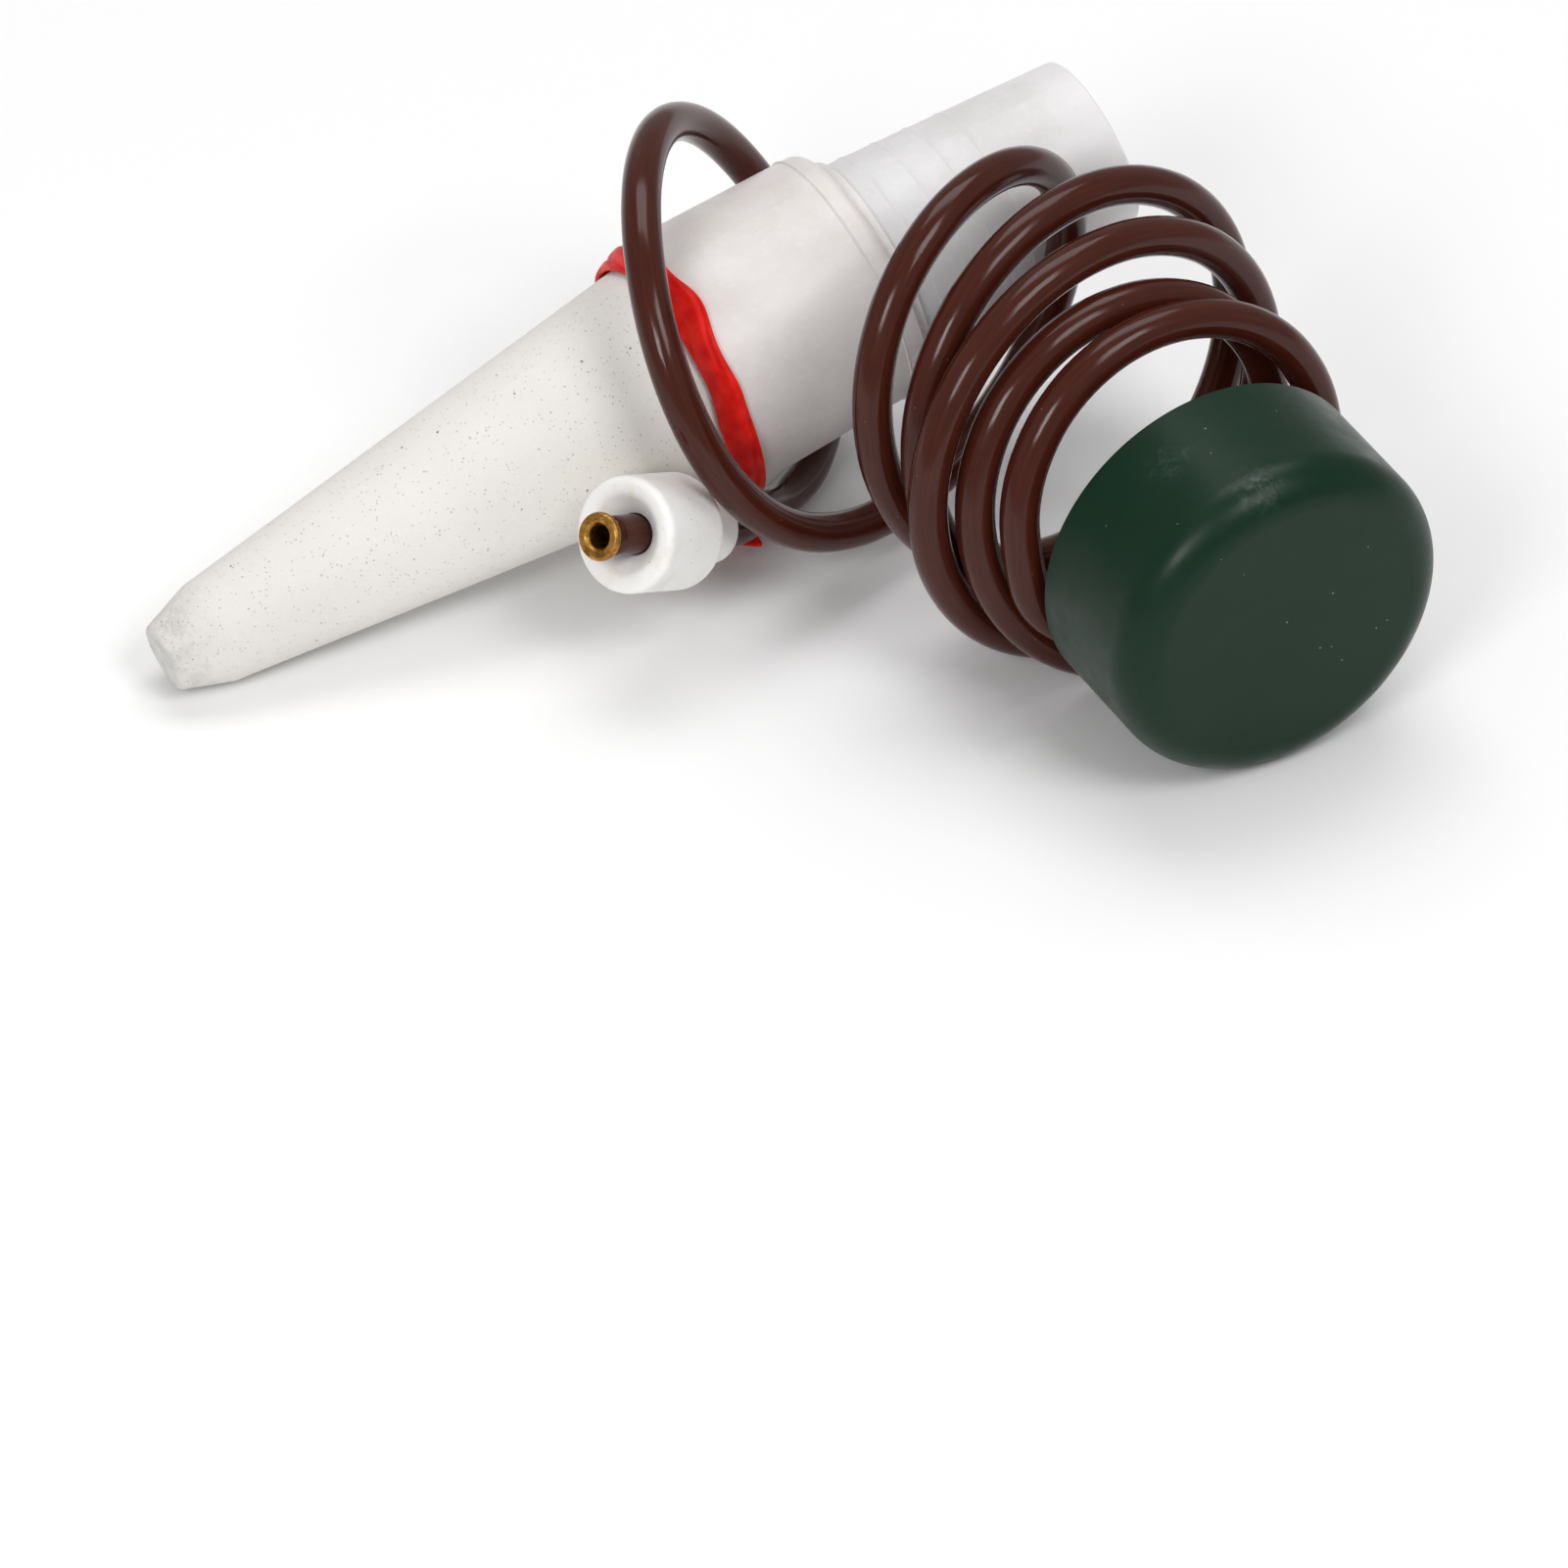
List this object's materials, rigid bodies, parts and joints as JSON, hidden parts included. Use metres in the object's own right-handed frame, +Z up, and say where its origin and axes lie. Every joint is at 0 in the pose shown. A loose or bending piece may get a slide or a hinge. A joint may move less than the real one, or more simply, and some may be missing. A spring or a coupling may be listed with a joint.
{
  "type": "self_watering_spike",
  "caption": "Self watering plant spike with its cap off: pale porous ceramic cone in a translucent collar and neck, wound brown hose, green cap, white sinker and red tie.",
  "frame": {"origin": "On the floor, in the middle of the footprint of the spike and the cap, with the hose left out.", "axes": "+X runs from the spike's tip to its neck, +Y from the cap to the spike, and +Z is up."},
  "size_m": [0.1391, 0.1077, 0.0597],
  "materials": {
    "porous_ceramic": "matte",
    "collar_plastic": "satin",
    "neck_plastic": "satin",
    "seal_rubber": "matte",
    "cap_green": "satin",
    "sinker_ceramic": "matte",
    "brass": "polished",
    "tie_red": "satin",
    "hose_brown": "gloss"
  },
  "bodies": {
    "spike": {"ceramic_cone": "porous_ceramic", "collar": "collar_plastic", "cone_seal": "seal_rubber", "neck_tube": "neck_plastic", "red_tie": "tie_red", "hose_end": "hose_brown", "hose_lead": "hose_brown", "hose_coil": "hose_brown", "hose_tail": "hose_brown", "brass_eyelet": "brass"},
    "sinker": {"sinker_weight": "sinker_ceramic"},
    "cap": {"cap": "cap_green", "cap_seal": "seal_rubber"}
  },
  "joints": [
    {"name": "sinker_slide", "type": "slide", "parent": "spike", "child": "sinker", "axis": [-0.8232, -0.3029, 0.4802], "range_m": [0, 0.0065]},
    {"name": "cap_pull", "type": "slide", "parent": "spike", "child": "cap", "axis": [0, -1, 0], "range_m": [0, 0.006]}
  ]
}
